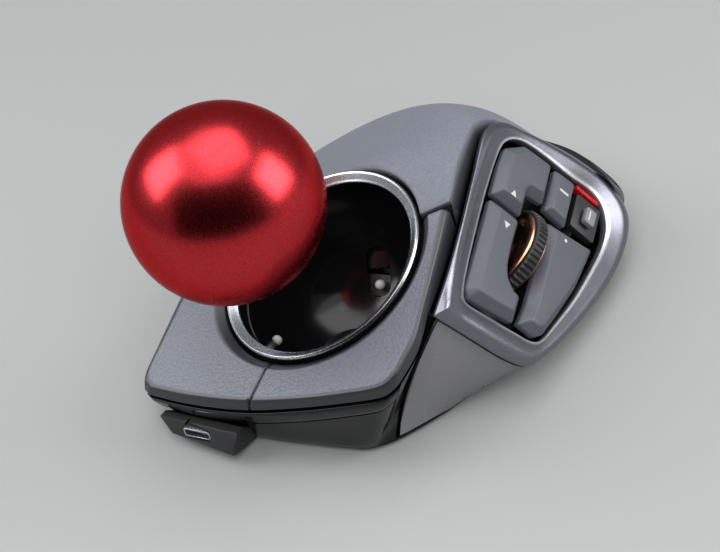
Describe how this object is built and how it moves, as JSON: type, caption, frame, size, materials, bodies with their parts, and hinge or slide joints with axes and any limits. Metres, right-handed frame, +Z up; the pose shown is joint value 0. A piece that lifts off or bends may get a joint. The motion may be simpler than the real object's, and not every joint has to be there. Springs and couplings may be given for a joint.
{
  "type": "computer mouse",
  "caption": "Cordless trackball mouse with a large ball lifted from its socket, thumb keys round a tilting scroll wheel, and inner works.",
  "frame": {"origin": "middle of the object in plan, on the surface that the feet stand on", "axes": "+X to the user's right, +Y towards the front edge with the keys, +Z up"},
  "size_m": [0.0945, 0.1298, 0.0823],
  "materials": {
    "charcoal_pebble": "fine leather-like pebble, charcoal blue-grey",
    "charcoal_key": "smooth matte charcoal with bevelled sides",
    "black_gloss": "gloss black",
    "black_plain": "plain black moulding",
    "grey_gloss": "glossy mid-grey",
    "gunmetal": "satin gunmetal paint",
    "silver": "satin silver with a bright outer edge",
    "ball_red": "pearl red with fine flakes",
    "ball_clear": "clear gloss coat over pearl red",
    "copper": "polished rose copper",
    "rubber": "ribbed black rubber",
    "steel": "bright steel",
    "board": "green circuit board",
    "bearing": "polished white ceramic",
    "led_red": "clear red light guide",
    "foil": "printed metal foil, plain",
    "slider": "mid-grey with a white mark",
    "foot": "low-friction black foot"
  },
  "bodies": {
    "body": {"lower_case": "black_gloss", "front_belt": "black_gloss", "side_skirt": "grey_gloss", "top_cover": "charcoal_pebble", "socket_ring": "silver", "ball_cup": "black_gloss", "bearing_holder": "black_plain", "support_bearing_1": "bearing", "support_bearing_2": "bearing", "support_bearing_3": "bearing", "sensor_lens": "black_gloss", "sensor_board": "board", "thumb_frame": "gunmetal", "switch_bezel": "black_plain", "led_window": "led_red", "scroll_encoder": "black_plain", "thumb_board": "board", "main_board": "board", "battery": "foil", "contact_spring_side": "steel", "contact_button_side": "steel", "usb_receiver": "black_plain", "case_screw_1": "steel", "case_screw_2": "steel", "case_screw_3": "steel", "usb_housing": "black_plain", "usb_port": "silver", "foot_1": "foot", "foot_2": "foot", "foot_3": "foot", "foot_4": "foot", "switch_back": "black_plain", "switch_forward": "black_plain", "switch_left": "black_plain", "switch_speed": "black_plain", "switch_wheel": "black_plain", "switch_right": "black_plain", "switch_fn1": "black_plain", "switch_fn2": "black_plain", "switch_fn3": "black_plain"},
    "ball": {"ball_core": "ball_red"},
    "ball_shell": {"ball_coat": "ball_clear"},
    "right_key": {"right_click": "charcoal_pebble"},
    "fn1_key": {"fn1_button": "charcoal_pebble"},
    "fn2_key": {"fn2_button": "charcoal_key"},
    "fn3_key": {"fn3_button": "charcoal_key"},
    "back": {"back_key": "charcoal_key"},
    "forward": {"forward_key": "charcoal_key"},
    "left": {"left_click_key": "charcoal_key"},
    "speed": {"speed_key": "charcoal_key"},
    "speed_slider": {"speed_switch": "slider"},
    "mode_slider": {"mode_switch": "slider"},
    "pairing": {"pairing_button": "slider"},
    "battery_lid": {"battery_cover": "black_plain"},
    "wheel_press_body": {"wheel_carrier": "black_plain", "tilt_pin": "steel"},
    "wheel_rocker": {"wheel_yoke": "black_plain", "wheel_axle": "steel"},
    "wheel": {"wheel_hub": "copper", "wheel_tyre": "rubber"}
  },
  "joints": [
    {"name": "ball_lift", "type": "slide", "parent": "body", "child": "ball", "axis": [0.1737, 0.5547, 0.8137], "range_m": [-0.0423, 0]},
    {"name": "ball_roll", "type": "hinge", "parent": "ball", "child": "ball_shell", "pos_m": [0.0078, 0.04295, 0.0604], "axis": [1, 0, 0], "continuous": true},
    {"name": "right_click_press", "type": "hinge", "parent": "body", "child": "right_key", "pos_m": [0.038, 0.00905, 0.02], "axis": [-0.9374, -0.3482, 0], "range_deg": [0, 0.55], "stiffness_Nm_per_rad": 2},
    {"name": "fn1_press", "type": "hinge", "parent": "body", "child": "fn1_key", "pos_m": [-0.024, 0.01105, 0.038], "axis": [-0.9732, 0.23, 0], "range_deg": [0, 0.6], "stiffness_Nm_per_rad": 2},
    {"name": "fn2_press", "type": "hinge", "parent": "body", "child": "fn2_key", "pos_m": [0.034, 0.00705, 0.024], "axis": [0, 1, 0], "range_deg": [0, 2], "stiffness_Nm_per_rad": 0.2},
    {"name": "fn3_press", "type": "hinge", "parent": "body", "child": "fn3_key", "pos_m": [0.032, 0.00105, 0.026], "axis": [0.5408, 0.8412, 0], "range_deg": [0, 2], "stiffness_Nm_per_rad": 0.2},
    {"name": "back_press", "type": "hinge", "parent": "body", "child": "back", "pos_m": [-0.02565, -0.01257, 0.03845], "axis": [0.217, -0.9433, 0.2511], "range_deg": [0, 2.5], "stiffness_Nm_per_rad": 0.12},
    {"name": "forward_press", "type": "hinge", "parent": "body", "child": "forward", "pos_m": [-0.0303, 0.00718, 0.03302], "axis": [0.217, -0.9433, 0.2511], "range_deg": [0, 2.5], "stiffness_Nm_per_rad": 0.12},
    {"name": "left_click_press", "type": "hinge", "parent": "body", "child": "left", "pos_m": [-0.04364, -0.00269, 0.01144], "axis": [-0.217, 0.9433, -0.2511], "range_deg": [0, 2.2], "stiffness_Nm_per_rad": 0.12},
    {"name": "speed_press", "type": "hinge", "parent": "body", "child": "speed", "pos_m": [-0.03222, -0.02341, 0.02728], "axis": [0.217, -0.9433, 0.2511], "range_deg": [0, 3], "stiffness_Nm_per_rad": 0.12},
    {"name": "speed_slide", "type": "slide", "parent": "body", "child": "speed_slider", "axis": [-0.217, 0.9433, -0.2511], "range_m": [-0.002, 0.002]},
    {"name": "mode_slide", "type": "slide", "parent": "body", "child": "mode_slider", "axis": [1, 0, 0], "range_m": [0, 0.0042]},
    {"name": "pairing_press", "type": "slide", "parent": "body", "child": "pairing", "axis": [0, 0, 1], "range_m": [0, 0.0004], "stiffness_N_per_m": 2500},
    {"name": "battery_lid_slide", "type": "slide", "parent": "body", "child": "battery_lid", "axis": [0, -1, 0], "range_m": [0, 0.018]},
    {"name": "wheel_press", "type": "slide", "parent": "body", "child": "wheel_press_body", "axis": [0.8394, 0.049, -0.5413], "range_m": [0, 0.0005], "stiffness_N_per_m": 2400},
    {"name": "wheel_tilt", "type": "hinge", "parent": "wheel_press_body", "child": "wheel_rocker", "pos_m": [-0.01831, -0.00392, 0.01403], "axis": [-0.217, 0.9433, -0.2511], "range_deg": [-2.2, 2.2], "stiffness_Nm_per_rad": 0.4},
    {"name": "wheel_spin", "type": "hinge", "parent": "wheel_rocker", "child": "wheel", "pos_m": [-0.03006, -0.0046, 0.02161], "axis": [0.4983, 0.3282, 0.8025], "continuous": true}
  ]
}
